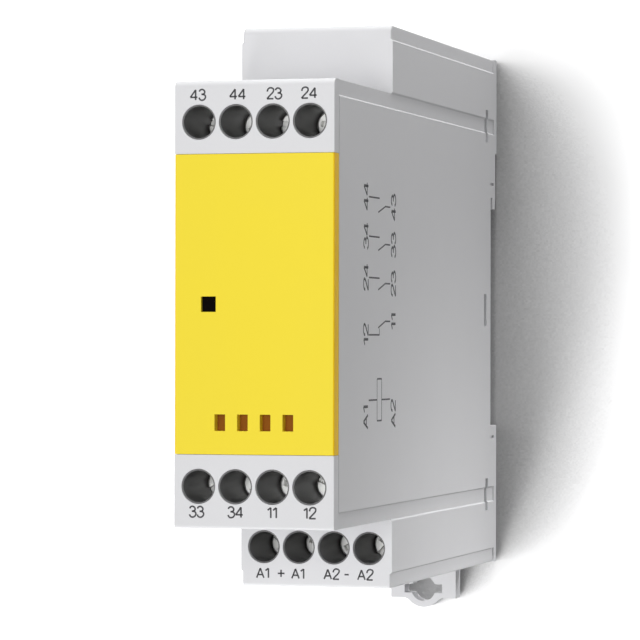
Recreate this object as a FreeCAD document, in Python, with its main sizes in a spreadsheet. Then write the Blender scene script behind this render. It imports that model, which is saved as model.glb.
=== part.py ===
import FreeCAD, Part
import os
import re
import Sketcher

# Safety relay module for a 35 mm rail: hood, rear base, snap-on front cover, three terminal blocks
# with twelve rising-cage screw terminals, a sprung rail foot, and a relay with force-guided contacts.
#
# Frame: +X across the module, +Y from the front face towards the rail, +Z up.
# The origin is the middle of the rail on the plane where the rail's front face seats.

# ---------------------------------------------------------------- sizes, in millimetres
SIZES = {
    # housing
    "width": 22.5,
    "body_height": 80.5,
    "front_height": 60.8,
    "rail_to_front": 93.8,
    "step_depth": 31.2,
    "rear_reach": 4.2,
    "panel_rise": 0.22,
    "panel_band": 2.1,
    "rear_band": 1.7,
    "groove_wide": 0.25,
    "groove_deep": 0.3,
    "notch_long": 2.8,
    "notch_tall": 0.4,
    "notch_rise": 2.15,
    "notch_back": 1.7,
    "wall": 1.5,
    "thin_wall": 0.6,
    "front_wall": 1.6,
    "edge_radius": 0.25,
    "brow_radius": 1.0,
    "chin_radius": 0.4,
    # front cover
    "cover_edge": 10.05,
    "cover_thick": 1.4,
    "cover_skirt": 0.8,
    "cover_wrap": 2.3,
    "fit_gap": 0.05,
    "lamp_window": 2.1,
    "lamp_edge": 4.8,
    "lamp_sink": 0.5,
    "slot_wide": 1.5,
    "slot_tall": 2.25,
    "slot_pitch": 3.2,
    "slot_edge": 4.3,
    "strip_thick": 0.6,
    "strip_rim": 0.8,
    # terminals
    "row_margin": 1.62,
    "row_edge": 5.7,
    "step_edge": 5.65,
    "bore_rib": 0.44,
    "funnel_wall": 0.16,
    "block_room": 0.1,
    "head_depth": 10.8,
    "head_room": 0.58,
    "head_thick": 1.9,
    "shank_room": 0.1,
    "thread_gap": 0.05,
    "shoulder": 0.8,
    "shank_reach": 8.7,
    "cage_rest": 4.2,
    "cage_gap": 1.32,
    "cage_long": 9.7,
    "cage_tall": 5.0,
    "cage_top": 1.2,
    "cage_floor": 0.9,
    "cage_side": 0.6,
    "cage_room": 0.15,
    "bar_thick": 1.0,
    "bar_spare": 0.5,
    "bar_step": 2.6,
    "wire_rim": 0.3,
    "wire_tall": 3.4,
    "tower_rib": 2.5,
    "tower_floor": 1.2,
    # rail side
    "rail_width": 35.0,
    "hook_room": 0.55,
    "hook_drop": 1.8,
    "rail_play": 1.3,
    "shelf_room": 0.9,
    "heel_rise": 7.15,
    "heel_step": 1.0,
    "base_plate": 1.8,
    "clip_tall": 5.1,
    "clip_wide": 1.7,
    "clip_edge": 10.95,
    "clip_sink": 1.1,
    "clip_back": 6.8,
    "middle_clip_back": 7.9,
    # rail foot
    "foot_wide": 10.7,
    "foot_thick": 3.1,
    "foot_front": 1.0,
    "foot_lip": 1.5,
    "foot_bulge": 1.5,
    "pull_round": 1.5,
    "foot_ear": 1.2,
    "foot_ear_thick": 1.2,
    "foot_gap": 0.1,
    "foot_travel": 3.5,
    "catch_grip": 1.4,
    "keyhole_wide": 6.2,
    "keyhole_tall": 1.4,
    "keyhole_out": 4.45,
    "keyhole_hole": 4.0,
    "spring_wire": 0.4,
    "spring_width": 2.6,
    "spring_long": 9.0,
    "spring_turns": 7.0,
    "peg_thick": 1.5,
    "peg_edge": 4.25,
    # circuit board
    "board_thick": 1.6,
    "board_gap": 0.3,
    "board_rear": 7.0,
    "capacitor_width": 6.2,
    "capacitor_tall": 9.0,
    "absorber_width": 8.0,
    "absorber_thick": 3.2,
    "chip_long": 3.2,
    "chip_wide": 1.6,
    "chip_tall": 0.9,
    "chip_pitch": 5.0,
    # relay
    "relay_end": 3.45,
    "relay_side": 0.66,
    "relay_room": 0.7,
    "relay_rear": 8.4,
    "relay_shell": 0.7,
    "relay_floor": 1.5,
    "flange_rim": 0.6,
    "winding_thick": 2.2,
    "bobbin_tube": 0.6,
    "flange_thick": 1.0,
    "coil_room": 1.6,
    "coil_end_room": 18.0,
    "yoke_thick": 1.3,
    "yoke_inset": 0.8,
    "armature_thick": 1.2,
    "armature_gap": 0.9,
    "arm_reach": 7.2,
    "arm_finger": 2.0,
    "card_thick": 1.0,
    "card_wide": 9.0,
    "card_play": 0.25,
    "blade_wide": 6.0,
    "blade_thick": 0.25,
    "fixed_thick": 0.5,
    "pole_spare": 3.6,
    "pole_drop": 4.0,
    "contact_gap": 0.6,
    "button_width": 2.4,
    "button_thick": 0.5,
    "pin_wide": 0.8,
}

# Lengths worked out from the sizes above.
PLACES = {
    "half_wide": "width / 2 - panel_rise",
    "front": "-rail_to_front",
    "step": "front + step_depth",
    "top": "body_height / 2",
    "block": "front_height / 2",
    "inner_wide": "half_wide - wall",
    "front_room": "front + cover_thick + front_wall",
    "groove_far": "front + cover_wrap + groove_wide",
    "block_half": "half_wide - thin_wall - block_room",
    "cover_height": "2 * (block - cover_edge)",
    "lamp_across": "width / 2 - lamp_edge",
    "slot_drop": "cover_height / 2 - slot_edge",
    "strip_half": "1.5 * slot_pitch + slot_wide / 2 + strip_rim",
    "strip_tall": "slot_tall + 2 * strip_rim",
    "funnel_radius": "screw_bore / 2 - fit_gap",
    # terminals, which share the width
    "pitch": "(width - row_margin) / 4",
    "front_row": "block - row_edge",
    "step_row": "top - step_edge",
    "screw_bore": "pitch - bore_rib",
    "head_width": "screw_bore - head_room",
    "cage_wide": "pitch - cage_gap",
    "cage_inside": "cage_wide - 2 * cage_side",
    "shank_width": "cage_inside - shank_room",
    "bar_wide": "cage_inside - bar_spare",
    "wire_wide": "cage_wide - wire_rim",
    # terminal depths, measured from the face that the screws are reached through
    "head_under": "head_depth + head_thick",
    "shoulder_top": "head_under + fit_gap",
    "chamber_top": "shoulder_top + shoulder",
    "cage_start": "head_under + cage_rest",
    "cage_end": "cage_start + cage_long",
    "bar_top": "head_under + shank_reach + 2 * fit_gap",
    "bar_floor": "bar_top + bar_thick",
    "chamber_end": "cage_end + 2 * cage_room",
    "tower_end": "chamber_end + tower_floor",
    "cage_half": "cage_tall / 2",
    "chamber_half": "cage_half + cage_room",
    "tower_inner": "front_row - chamber_half - tower_rib",
    "step_inner": "step_row - chamber_half - tower_rib",
    # rail side
    "rail_half": "rail_width / 2",
    "undercut": "rail_half + hook_room",
    "hook_tip": "undercut - hook_drop",
    "shelf": "-(rail_half + shelf_room)",
    "heel_height": "undercut + heel_rise",
    "notch_height": "undercut + notch_rise",
    "clip_spread": "top - clip_edge",
    "keyhole_drop": "top + keyhole_out",
    "foot_reach": "keyhole_drop + foot_lip",
    "channel_front": "foot_front - foot_gap",
    "channel_half": "foot_wide / 2 + foot_gap",
    "ear_half": "foot_wide / 2 + foot_ear",
    "catch_top": "-(rail_half - catch_grip)",
    "peg_low": "-(top - peg_edge)",
    "peg_high": "peg_low + peg_thick",
    "window_top": "peg_high + spring_long + 2 * foot_gap",
    "base_wide": "inner_wide - 2 * fit_gap",
    "base_top": "top - wall - 2 * fit_gap",
    # circuit board and relay, across the module
    "board_back": "-(inner_wide - board_gap)",
    "board_face": "board_back + board_thick",
    "relay_seat": "board_face + board_gap",
    "relay_top": "inner_wide - relay_side",
    "relay_rise": "relay_top - relay_seat",
    "relay_length": "2 * (step_inner - relay_end)",
    "floor_top": "relay_seat + relay_shell + relay_floor",
    "relay_near": "step + bar_floor + relay_room",
    "relay_far": "-relay_rear",
    "flange_side": "relay_top - relay_shell - coil_room - floor_top - 2 * fit_gap",
    "coil_width": "flange_side - 2 * flange_rim",
    "core_width": "coil_width - 2 * (winding_thick + 2 * fit_gap + bobbin_tube)",
    "yoke_wide": "flange_side - 2 * yoke_inset",
    "coil_y": "relay_near + relay_shell + 0.5 + flange_side / 2",
    "coil_x": "floor_top + 2 * fit_gap + flange_side / 2",
    "coil_low": "-(relay_length / 2 - relay_shell - 0.8 - yoke_thick)",
    "coil_length": "relay_length - coil_end_room",
    "coil_high": "coil_low + coil_length",
    "pole_pitch": "(coil_length - pole_spare) / 4",
    "core_end": "coil_high + 0.6",
    "yoke_near": "coil_y + flange_side / 2 + 0.3",
    "hinge_y": "yoke_near + yoke_thick / 2",
    "hinge_z": "core_end + armature_gap",
    "arm_y": "hinge_y + arm_reach",
    "card_x": "relay_top - relay_shell - 1.1 - card_thick",
    "pin_end": "board_back - 0.2",
}

ROW_PLACES = (-1.5, -0.5, 0.5, 1.5)
TERMINAL_ROWS = (("front", "front_row", 1), ("front", "front_row", -1), ("step", "step_row", -1))

doc = FreeCAD.newDocument("safety_relay")
sheet = doc.addObject("Spreadsheet::Sheet", "Sizes")
for line, (word, number) in enumerate(SIZES.items(), 1):
    sheet.set("A%d" % line, word)
    sheet.set("B%d" % line, str(number))
    sheet.setAlias("B%d" % line, word)
doc.recompute()


# ---------------------------------------------------------------- helpers
def formula(text):
    """Spell a length out in cells of the sheet."""
    def spell(match):
        word = match.group()
        if word in PLACES:
            return "(" + formula(PLACES[word]) + ")"
        if word in SIZES:
            return "Sizes." + word
        return word
    return re.sub(r"[a-z][a-z_]*", spell, str(text))


def length(text):
    """Present value of a length."""
    return float(sheet.evalExpression(formula(text)))


def bind(thing, **formulas):
    """Tie properties of an object to lengths."""
    for name, text in formulas.items():
        thing.setExpression(name, formula(text))


def place(thing, x="0", y="0", z="0"):
    """Tie an object's place to lengths."""
    for axis, text in zip("xyz", (x, y, z)):
        thing.setExpression("Placement.Base." + axis, formula(text))


def new_body(label):
    body = doc.addObject("PartDesign::Body", label)
    body.Label = label
    return body


def new_sketch(body, role, offset="0"):
    """Sketch on a plane of the body's origin, moved along its normal."""
    plane = next(f for f in body.Origin.OriginFeatures if f.Role == role)
    sketch = body.newObject("Sketcher::SketchObject", "Sketch")
    sketch.AttachmentSupport = [(plane, "")]
    sketch.MapMode = "FlatFace"
    sketch.setExpression("AttachmentOffset.Base.z", formula(offset))
    return sketch


def hold(sketch, edge, point, across, up):
    """Hold a point of a sketch at a pair of lengths."""
    for kind, axis, text in (("DistanceX", -2, across), ("DistanceY", -1, up)):
        if str(text) == "0":
            sketch.addConstraint(Sketcher.Constraint("PointOnObject", edge, point, axis))
            continue
        rule = Sketcher.Constraint(kind, -1, 1, edge, point, length(text))
        number = sketch.addConstraint(rule)
        sketch.setExpression("Constraints[%d]" % number, formula(text))


def add_outline(sketch, points):
    """Closed outline through points given as pairs of lengths."""
    spots = [FreeCAD.Vector(length(a), length(b), 0) for a, b in points]
    first = sketch.GeometryCount
    for start, end in zip(spots, spots[1:] + spots[:1]):
        sketch.addGeometry(Part.LineSegment(start, end), False)
    for number, (across, up) in enumerate(points):
        following = first + (number + 1) % len(points)
        sketch.addConstraint(Sketcher.Constraint("Coincident", first + number, 2, following, 1))
    for number, (across, up) in enumerate(points):
        hold(sketch, first + number, 1, across, up)


def add_box(sketch, left, right, low, high):
    add_outline(sketch, [(left, low), (right, low), (right, high), (left, high)])


def add_circle(sketch, across, up, radius):
    middle = FreeCAD.Vector(length(across), length(up), 0)
    circle = Part.Circle(middle, FreeCAD.Vector(0, 0, 1), length(radius))
    edge = sketch.addGeometry(circle, False)
    hold(sketch, edge, 3, across, up)
    number = sketch.addConstraint(Sketcher.Constraint("Radius", edge, length(radius)))
    sketch.setExpression("Constraints[%d]" % number, formula(radius))


def extrude(body, kind, sketch, depth, both=False, back=False):
    """Pad or Pocket of a sketch; a cut must take something away."""
    before = body.Shape.Volume if body.Tip else 0
    feature = body.newObject("PartDesign::" + kind, kind)
    feature.Profile = sketch
    feature.setExpression("Length", formula(depth))
    if both:
        feature.SideType = "Symmetric"
    feature.Reversed = back
    doc.recompute()
    if kind == "Pocket" and feature.Shape.Volume >= before - 1e-6:
        raise ValueError(body.Label + " has a pocket that cuts nothing")
    return feature


def pad(body, sketch, depth, **ways):
    return extrude(body, "Pad", sketch, depth, **ways)


def pocket(body, sketch, depth, **ways):
    return extrude(body, "Pocket", sketch, depth, **ways)


def dress(body, kind, size, chosen):
    """Fillet or chamfer on the edges of the body that a test picks."""
    base = body.Tip
    names = ["Edge%d" % n for n, edge in enumerate(base.Shape.Edges, 1) if chosen(edge)]
    if not names:
        raise ValueError(body.Label + " has no edge to dress")
    feature = body.newObject("PartDesign::" + kind, kind)
    feature.Base = (base, names)
    feature.setExpression("Radius" if kind == "Fillet" else "Size", formula(size))
    doc.recompute()
    return feature


def lies_on(edge, axis, text):
    """Whether both ends of an edge lie at a length along an axis."""
    number = length(text)
    return all(abs(getattr(v.Point, axis) - number) < 1e-4 for v in edge.Vertexes)


def column(number):
    """Place across of one terminal of a row."""
    return "%g * pitch" % number


# ---------------------------------------------------------------- housing
def hook_outline():
    """Rear edge of the side view from the top down: heel, hook, rail recess and lower shelf."""
    return [
        ("rear_reach", "heel_height"),
        ("rear_reach - heel_step", "heel_height"),
        ("rear_reach - heel_step", "undercut"),
        ("rail_play + 1.6", "hook_tip"),
        ("rail_play", "hook_tip"),
        ("rail_play", "undercut"),
        ("0", "undercut"),
        ("0", "shelf"),
        ("rear_reach", "shelf"),
    ]


def housing_hood():
    """Hood moulding: stepped shell, open at the rear, with raised fields on both sides."""
    body = new_body("housing_hood")
    side = new_sketch(body, "YZ_Plane")
    add_outline(side, [
        ("front", "-block"), ("front", "block"), ("step", "block"), ("step", "top"),
        ("rear_reach", "top"), *hook_outline(), ("rear_reach", "-top"),
        ("step", "-top"), ("step", "-block")])
    pad(body, side, "2 * half_wide", both=True)

    # brow and chin of the step faces, and the long outer edges, before the fields stand out of them
    for size, height in (("brow_radius", "top"), ("chin_radius", "-top")):
        dress(body, "Fillet", size, lambda edge: lies_on(edge, "y", "step") and lies_on(edge, "z", height))

    def long_edge(edge):
        across = lies_on(edge, "x", "half_wide") or lies_on(edge, "x", "-half_wide")
        return across and (lies_on(edge, "z", "top") or lies_on(edge, "z", "-top"))
    dress(body, "Fillet", "edge_radius", long_edge)

    # fields at full width: the large one, one on each end block, and the front and rear strips
    fields = new_sketch(body, "YZ_Plane")
    field_top = "block - panel_band"
    end_top = "top - panel_band"
    add_outline(fields, [
        ("front", "-(%s)" % field_top), ("front", field_top), ("rear_reach", field_top),
        *hook_outline(), ("rear_reach", "-(%s)" % field_top)])
    pad(body, fields, "width", both=True)
    ends = new_sketch(body, "YZ_Plane")
    rear = "rear_reach - rear_band"
    for way in ("", "-"):
        add_outline(ends, [
            ("step", way + "block"), (rear, way + "block"), (rear, "%s(%s)" % (way, field_top)),
            ("rear_reach", "%s(%s)" % (way, field_top)), ("rear_reach", way + "top"),
            (rear, way + "top"), (rear, "%s(%s)" % (way, end_top)), ("step", "%s(%s)" % (way, end_top))])
        add_box(ends, "front", "front + cover_wrap", "%s(%s)" % (way, field_top), way + "block")
    pad(body, ends, "width", both=True)

    # bevels round the fields
    def field_edge(edge):
        across = lies_on(edge, "x", "width / 2") or lies_on(edge, "x", "-width / 2")
        on_field = any(lies_on(edge, "z", sign % height) for sign in ("%s", "-(%s)")
                       for height in (field_top, "block", end_top))
        return across and on_field and edge.Length > length("step_depth")
    dress(body, "Chamfer", "panel_rise * 0.9", field_edge)

    # brow and chin of the front
    for size, height in (("brow_radius", "block"), ("chin_radius", "-block")):
        dress(body, "Fillet", size, lambda edge: lies_on(edge, "y", "front") and lies_on(edge, "z", height))

    # room inside, out through the rear
    room = new_sketch(body, "YZ_Plane")
    add_outline(room, [
        ("rear_reach + 1", "top - wall"), ("step + wall", "top - wall"),
        ("step + wall", "block - wall"), ("front_room", "block - wall"),
        ("front_room", "-(block - wall)"), ("step + wall", "-(block - wall)"),
        ("step + wall", "-(top - wall)"), ("rear_reach + 1", "-(top - wall)")])
    pocket(body, room, "2 * inner_wide", both=True)

    # the side walls are thinner beside the terminal blocks
    bays = new_sketch(body, "YZ_Plane")
    for face, row, side_way in TERMINAL_ROWS:
        start, inner, outer = block_bounds(face, row)
        low = "%d * (%s - block_room)" % (side_way, inner)
        high = "%d * (%s + block_room)" % (side_way, outer)
        add_box(bays, start, face + " + tower_end + block_room", low, high)
    pocket(body, bays, "2 * (half_wide - thin_wall)", both=True)

    # holes for the blocks' funnels, and wire entries through the outer walls
    for face, row, side_way in TERMINAL_ROWS:
        height = "%d * %s" % (side_way, row)
        holes = new_sketch(body, "XZ_Plane", "-(%s)" % face)
        for number in ROW_PLACES:
            add_circle(holes, column(number), height, "screw_bore / 2")
        pocket(body, holes, "cover_thick + front_wall + 0.5")
        wire_entries(body, face, row, side_way)

    # seat of the front cover, wrapping round both sides
    seat = new_sketch(body, "XY_Plane")
    tongue = "width / 2 - cover_skirt - fit_gap"
    beyond = "width / 2 + 1"
    far = "front + cover_wrap + fit_gap"
    add_outline(seat, [
        ("-(%s)" % beyond, "front - 1"), (beyond, "front - 1"), (beyond, far), (tongue, far),
        (tongue, "front + cover_thick"), ("-(%s)" % tongue, "front + cover_thick"),
        ("-(%s)" % tongue, far), ("-(%s)" % beyond, far)])
    pocket(body, seat, "cover_height + 2 * fit_gap", both=True)

    # groove between the front strip and the large field
    groove = new_sketch(body, "XY_Plane")
    deep = "width / 2 - groove_deep"
    for way in ("", "-"):
        add_box(groove, "%s(%s)" % (way, deep), "%s(%s)" % (way, beyond), "front + cover_wrap", "groove_far")
    pocket(body, groove, "2 * (block - panel_band)", both=True)

    # seat of the marker strip, and the window of the light pipe
    strip = new_sketch(body, "XZ_Plane", "-(front + cover_thick)")
    wide = "strip_half + fit_gap"
    add_box(strip, "-(%s)" % wide, wide, "-slot_drop - strip_tall / 2 - fit_gap",
            "-slot_drop + strip_tall / 2 + fit_gap")
    pocket(body, strip, "strip_thick + fit_gap")
    window = new_sketch(body, "XZ_Plane", "-(front + cover_thick)")
    lamp = "lamp_window / 2 + fit_gap"
    add_box(window, "-lamp_across - (%s)" % lamp, "-lamp_across + (%s)" % lamp, "-(%s)" % lamp, lamp)
    pocket(body, window, "front_wall + 0.5")

    # slots that the rear base's lugs snap into, right through both side walls
    clips = new_sketch(body, "YZ_Plane")
    for back, height in clip_places():
        add_box(clips, "rear_reach - %s - clip_wide / 2" % back, "rear_reach - %s + clip_wide / 2" % back,
                "%s - clip_tall / 2" % height, "%s + clip_tall / 2" % height)
    pocket(body, clips, "width + 2", both=True)

    # small notches beside the rail recess
    for height in ("notch_height", "-notch_height"):
        marks = new_sketch(body, "XY_Plane", height)
        for way in ("", "-"):
            add_box(marks, "%s(width / 2 - 0.35)" % way, "%s(%s)" % (way, beyond),
                    "rear_reach - notch_back - notch_long", "rear_reach - notch_back")
        pocket(body, marks, "notch_tall", both=True)

    # notch in the bottom wall where the rail foot comes out
    notch = new_sketch(body, "XY_Plane", "-top - 1")
    add_box(notch, "-(ear_half + foot_gap)", "ear_half + foot_gap", "channel_front", "rear_reach + 1")
    pocket(body, notch, "wall + 2", back=True)
    return body


def clip_places():
    """Distance from the rear edge and height of each pair of snap lugs."""
    return (("clip_back", "clip_spread"), ("middle_clip_back", "0"), ("clip_back", "-clip_spread"))


def block_bounds(face, row):
    """Where a terminal block starts, and its inner and outer heights."""
    if face == "front":
        return "front_room + block_room", "tower_inner", "block - wall - block_room"
    return "step + wall + block_room", "step_inner", "top - wall - block_room"


def wire_entries(body, face, row, side_way):
    """Four square holes that the wires go in through, level with the open cages."""
    entries = new_sketch(body, "XZ_Plane", "-(%s + bar_floor - fit_gap)" % face)
    half = "wire_wide / 2"
    height = "%d * %s" % (side_way, row)
    outside = "%d * (%s + 8)" % (side_way, row)
    for number in ROW_PLACES:
        across = column(number)
        add_box(entries, "%s - %s" % (across, half), "%s + %s" % (across, half), height, outside)
    pocket(body, entries, "wire_tall")


def terminal_block(label, face, row, side_way):
    """Dark block of four terminals: funnels, shoulders, cage chambers, bar slots and wire entries."""
    body = new_body(label)
    start, inner, outer = block_bounds(face, row)
    height = "%d * %s" % (side_way, row)
    places = [column(number) for number in ROW_PLACES]

    lump = new_sketch(body, "YZ_Plane")
    add_box(lump, start, face + " + tower_end", "%d * (%s)" % (side_way, inner),
            "%d * (%s)" % (side_way, outer))
    pad(body, lump, "2 * block_half", both=True)

    funnels = new_sketch(body, "XZ_Plane", "-(%s + 2 * fit_gap)" % face)
    for across in places:
        add_circle(funnels, across, height, "funnel_radius")
    pad(body, funnels, "%s - (%s) + 0.5" % (start, face), back=True)

    bores = new_sketch(body, "XZ_Plane", "-(%s)" % face)
    for across in places:
        add_circle(bores, across, height, "funnel_radius - funnel_wall")
    pocket(body, bores, "shoulder_top")

    necks = new_sketch(body, "XZ_Plane", "-(%s)" % face)
    for across in places:
        add_circle(necks, across, height, "shank_width / 2 + 4 * thread_gap")
    pocket(body, necks, "chamber_top + 0.5")

    chambers = new_sketch(body, "XZ_Plane", "-(%s + chamber_top)" % face)
    half = "cage_wide / 2 + cage_room"
    for across in places:
        add_box(chambers, "%s - (%s)" % (across, half), "%s + (%s)" % (across, half),
                "%s - chamber_half" % height, "%s + chamber_half" % height)
    pocket(body, chambers, "chamber_end - chamber_top")

    slots = new_sketch(body, "XZ_Plane", "-(%s + bar_top - cage_room)" % face)
    half = "bar_wide / 2 + cage_room"
    low = "%s - %d * (chamber_half + tower_rib + 0.5)" % (height, side_way)
    for across in places:
        add_box(slots, "%s - (%s)" % (across, half), "%s + (%s)" % (across, half), low, height)
    pocket(body, slots, "bar_thick + 2 * cage_room")

    wire_entries(body, face, row, side_way)
    return body


def rear_base():
    """Rear moulding: rail recess and hook, snap lugs, and the channel that the foot runs in."""
    body = new_body("rear_base")
    side = new_sketch(body, "YZ_Plane")
    add_outline(side, [
        ("-base_plate", "base_top"), ("rear_reach", "base_top"), *hook_outline(),
        ("rear_reach", "-base_top"), ("-base_plate", "-base_top")])
    pad(body, side, "2 * base_wide", both=True)

    # side skirts that carry the lugs
    skirts = new_sketch(body, "XY_Plane", "-base_top")
    reach = "rear_reach - middle_clip_back - 2"
    for way in ("", "-"):
        add_box(skirts, way + "base_wide", way + "(base_wide - 1.2)", reach, "-base_plate / 2")
    pad(body, skirts, "2 * base_top")

    # open pockets from inside keep the thick ends hollow
    hollows = new_sketch(body, "XZ_Plane", "base_plate")
    inside = "base_wide - 2.6"
    add_box(hollows, "-(%s)" % inside, inside, "heel_height + 1.2", "base_top - 1.2")
    pocket(body, hollows, "base_plate + rear_reach - 1.2")

    # T-shaped channel for the foot, open to the rear and below
    channel = new_sketch(body, "XY_Plane", "-base_top - 1")
    ear = "ear_half + foot_gap"
    deep = "channel_front"
    lip = "channel_front + foot_ear_thick + 2 * foot_gap"
    add_outline(channel, [
        ("-(%s)" % ear, deep), (ear, deep), (ear, lip), ("channel_half", lip),
        ("channel_half", "rear_reach + 1"), ("-channel_half", "rear_reach + 1"),
        ("-channel_half", lip), ("-(%s)" % ear, lip)])
    pocket(body, channel, "base_top + 1 + shelf", back=True)

    # peg that the foot spring stands on, inside the foot's window
    peg = new_sketch(body, "XZ_Plane", "-(channel_front - 0.4)")
    add_box(peg, "-(spring_width / 2 + 0.2)", "spring_width / 2 + 0.2", "peg_low", "peg_high")
    pad(body, peg, "foot_thick + foot_gap", back=True)

    # snap lugs in the hood's slots
    lugs = new_sketch(body, "YZ_Plane")
    half = "clip_wide / 2 - 2 * fit_gap"
    tall = "clip_tall / 2 - 2 * fit_gap"
    for back, height in clip_places():
        add_box(lugs, "rear_reach - %s - (%s)" % (back, half), "rear_reach - %s + (%s)" % (back, half),
                "%s - (%s)" % (height, tall), "%s + (%s)" % (height, tall))
    pad(body, lugs, "width - 2 * clip_sink", both=True)
    core = new_sketch(body, "YZ_Plane")
    add_box(core, "rear_reach - middle_clip_back - 2", "-base_plate", "-(base_top + 1)", "base_top + 1")
    pocket(body, core, "2 * (base_wide - 1.2)", both=True)
    return body


def front_cover():
    """Yellow cover: front plate with a short skirt down each side."""
    body = new_body("front_cover")
    plan = new_sketch(body, "XY_Plane")
    side = "width / 2"
    inner = "width / 2 - cover_skirt"
    add_outline(plan, [
        ("-" + side, "front"), (side, "front"), (side, "front + cover_wrap"),
        (inner, "front + cover_wrap"), (inner, "front + cover_thick"),
        ("-(%s)" % inner, "front + cover_thick"), ("-(%s)" % inner, "front + cover_wrap"),
        ("-" + side, "front + cover_wrap")])
    pad(body, plan, "cover_height", both=True)
    dress(body, "Fillet", "edge_radius", lambda edge: (
        lies_on(edge, "y", "front") and (lies_on(edge, "x", side) or lies_on(edge, "x", "-" + side))))
    holes = new_sketch(body, "XZ_Plane", "-front")
    half = "lamp_window / 2"
    add_box(holes, "-lamp_across - " + half, "-lamp_across + " + half, "-" + half, half)
    for number in ROW_PLACES:
        middle = "%g * slot_pitch" % number
        add_box(holes, middle + " - slot_wide / 2", middle + " + slot_wide / 2",
                "-slot_drop - slot_tall / 2", "-slot_drop + slot_tall / 2")
    pocket(body, holes, "cover_thick + 0.5")
    return body


def marker_strip():
    """Dark strip behind the cover's four slots, in a seat of the hood."""
    strip = doc.addObject("Part::Box", "marker_strip")
    bind(strip, Length="2 * strip_half", Width="strip_thick", Height="strip_tall")
    place(strip, "-strip_half", "front + cover_thick", "-slot_drop - strip_tall / 2")
    return strip


def light_pipe():
    """Square rod from the cover's window to the lamp on the board."""
    rod = doc.addObject("Part::Box", "light_pipe")
    side = "lamp_window - 2 * fit_gap"
    bind(rod, Length=side, Width="front_room - front + 2.6 - lamp_sink", Height=side)
    place(rod, "-lamp_across - lamp_window / 2 + fit_gap", "front + lamp_sink",
          "-lamp_window / 2 + fit_gap")
    return rod


def status_led():
    """Lamp on the board behind the light pipe: square body with a domed front."""
    body = new_body("status_led")
    plan = new_sketch(body, "XZ_Plane", "-(front_room + 3)")
    add_box(plan, "board_face", "-lamp_across + 1.2", "-1.2", "1.2")
    pad(body, plan, "3.2", back=True)
    dress(body, "Fillet", "0.4", lambda edge: lies_on(edge, "y", "front_room + 3"))
    return body


# ---------------------------------------------------------------- rail foot
def rail_foot():
    """Sliding foot: plate with side ears, spring window, catch for the rail and keyhole pull."""
    body = new_body("rail_foot")
    plate = new_sketch(body, "XZ_Plane", "-foot_front")
    half = "foot_wide / 2"
    add_box(plate, "-" + half, half, "-foot_reach", "shelf - foot_travel + 2.2")
    pad(body, plate, "foot_thick", back=True)

    # catch that reaches up behind the rail's lower edge, clear of the rail's thickness
    catch = new_sketch(body, "YZ_Plane")
    low = "shelf - foot_travel + 1.2"
    add_outline(catch, [
        ("foot_front + 0.5", low), ("foot_front + 0.5", "shelf - 0.2"), ("rail_play", "shelf + 0.3"),
        ("rail_play", "catch_top"), ("rail_play + 0.5", "catch_top"),
        ("foot_front + foot_thick", "shelf + 0.2"), ("foot_front + foot_thick", low)])
    pad(body, catch, "foot_wide - 1", both=True)

    # rounded pull below, concentric with the keyhole
    pull = new_sketch(body, "XZ_Plane", "-foot_front")
    pull_radius = "foot_lip + foot_bulge"
    add_circle(pull, "0", "-keyhole_drop", pull_radius)
    pad(body, pull, "foot_thick", back=True)

    def pull_corner(edge):
        near = max(abs(v.X) for v in edge.Vertexes) < length(pull_radius)
        return near and lies_on(edge, "z", "-foot_reach") and isinstance(edge.Curve, Part.Line)
    dress(body, "Fillet", "pull_round", pull_corner)

    ears = new_sketch(body, "XZ_Plane", "-foot_front")
    for way in ("", "-"):
        add_box(ears, way + "(foot_wide / 2 - 0.5)", way + "ear_half", "-(top - foot_travel - 2)",
                "shelf - foot_travel - 1")
    pad(body, ears, "foot_ear_thick", back=True)

    window = new_sketch(body, "XZ_Plane", "-foot_front + 1")
    wide = "spring_width / 2 + 0.5"
    add_box(window, "-(%s)" % wide, wide, "peg_low - foot_gap", "window_top")
    pocket(body, window, "foot_thick + 3")

    slot = new_sketch(body, "XZ_Plane", "-foot_front + 1")
    add_box(slot, "-keyhole_wide / 2", "keyhole_wide / 2", "-keyhole_drop - keyhole_tall / 2",
            "-keyhole_drop + keyhole_tall / 2")
    pocket(body, slot, "foot_thick + 3")
    hole = new_sketch(body, "XZ_Plane", "-foot_front + 1")
    add_circle(hole, "0", "-keyhole_drop", "keyhole_hole / 2")
    pocket(body, hole, "foot_thick + 3")
    return body


def foot_spring():
    """Compression spring between the peg of the base and the top of the foot's window."""
    wire = length("spring_wire")
    tall = length("spring_long") - wire - 2 * length("foot_gap")
    radius = (length("spring_width") - wire) / 2
    path = Part.makeHelix(tall / length("spring_turns"), tall, radius)
    ring = Part.makeCircle(wire / 2, FreeCAD.Vector(radius, 0, 0), FreeCAD.Vector(0, 1, 0))
    coil = Part.Wire(path.Edges).makePipeShell([Part.Wire([ring])], True, True)
    spring = doc.addObject("Part::Feature", "foot_spring")
    spring.Shape = coil
    place(spring, "0", "foot_front + foot_thick / 2", "peg_high + foot_gap + spring_wire / 2")
    return spring


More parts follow.
